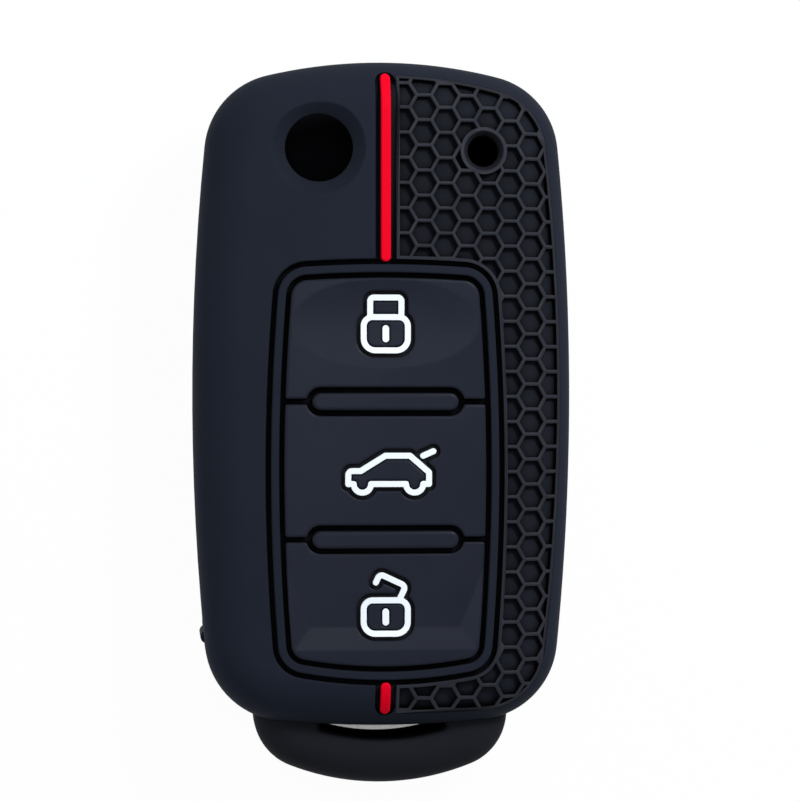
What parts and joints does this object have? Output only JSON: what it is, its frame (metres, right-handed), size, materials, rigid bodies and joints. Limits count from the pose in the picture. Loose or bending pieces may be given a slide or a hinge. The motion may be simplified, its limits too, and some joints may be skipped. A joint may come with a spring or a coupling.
{
  "type": "key fob cover",
  "caption": "Hollow soft cover that stretches over a folding car key, with a side mouth for the blade, press-through button pads, honeycomb grip fields and a keyring lug.",
  "frame": {"origin": "middle of the overall length and width, on the plane of the back that the cover lies on", "axes": "+Z out of the button face, +Y along the cover towards the end that the blade swings out of, +X towards the honeycomb side"},
  "size_m": [0.0428, 0.0818, 0.0191],
  "materials": {
    "black_silicone": "matt, slightly silky",
    "red_silicone": "matt",
    "white_silicone": "matt"
  },
  "bodies": {
    "cover": {"sleeve": "black_silicone", "keyring_lug": "black_silicone", "button_web": "black_silicone", "upper_bar": "black_silicone", "lower_bar": "black_silicone", "upper_front_stripe": "red_silicone", "lower_front_stripe": "red_silicone", "rear_stripe": "red_silicone", "front_honeycomb": "black_silicone", "rear_honeycomb": "black_silicone"},
    "lock_pad": {"lock_button": "black_silicone", "lock_symbol": "white_silicone", "lock_keyhole": "white_silicone"},
    "boot_pad": {"boot_button": "black_silicone", "boot_symbol": "white_silicone", "boot_lid_symbol": "white_silicone"},
    "unlock_pad": {"unlock_button": "black_silicone", "unlock_symbol": "white_silicone", "unlock_keyhole": "white_silicone"}
  },
  "joints": [
    {"name": "lock_press", "type": "slide", "parent": "cover", "child": "lock_pad", "axis": [0, 0, -1], "range_m": [0, 0.0008], "stiffness_N_per_m": 1500},
    {"name": "boot_press", "type": "slide", "parent": "cover", "child": "boot_pad", "axis": [0, 0, -1], "range_m": [0, 0.0008], "stiffness_N_per_m": 1500},
    {"name": "unlock_press", "type": "slide", "parent": "cover", "child": "unlock_pad", "axis": [0, 0, -1], "range_m": [0, 0.0008], "stiffness_N_per_m": 1500}
  ]
}
